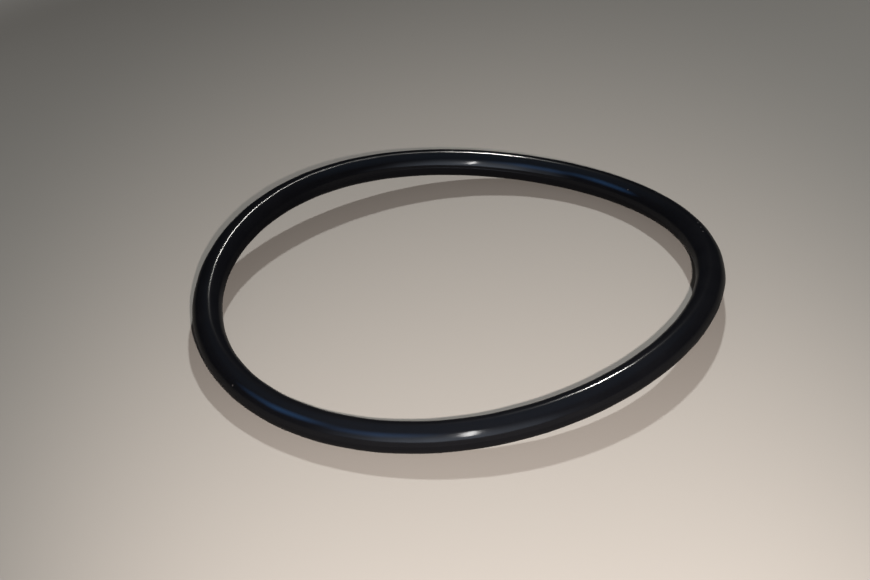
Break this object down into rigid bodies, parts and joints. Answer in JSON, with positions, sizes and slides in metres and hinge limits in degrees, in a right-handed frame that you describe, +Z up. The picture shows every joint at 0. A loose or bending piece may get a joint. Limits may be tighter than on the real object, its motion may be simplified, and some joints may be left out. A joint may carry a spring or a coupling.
{
  "type": "rubber o-ring",
  "caption": "Black rubber sealing ring of round section that has taken a set: slightly oval and warped, so it stands on opposite low points with the sides between them lifted.",
  "frame": {"origin": "on the surface that the ring lies on, under the middle of the ring", "axes": "+Z up, along the ring's own axis; +Y away from the picture's viewer and +X to that viewer's right"},
  "size_m": [0.0549, 0.0555, 0.0053],
  "materials": {
    "black_rubber": "gloss"
  },
  "bodies": {
    "root": {"o_ring": "black_rubber"}
  },
  "joints": []
}
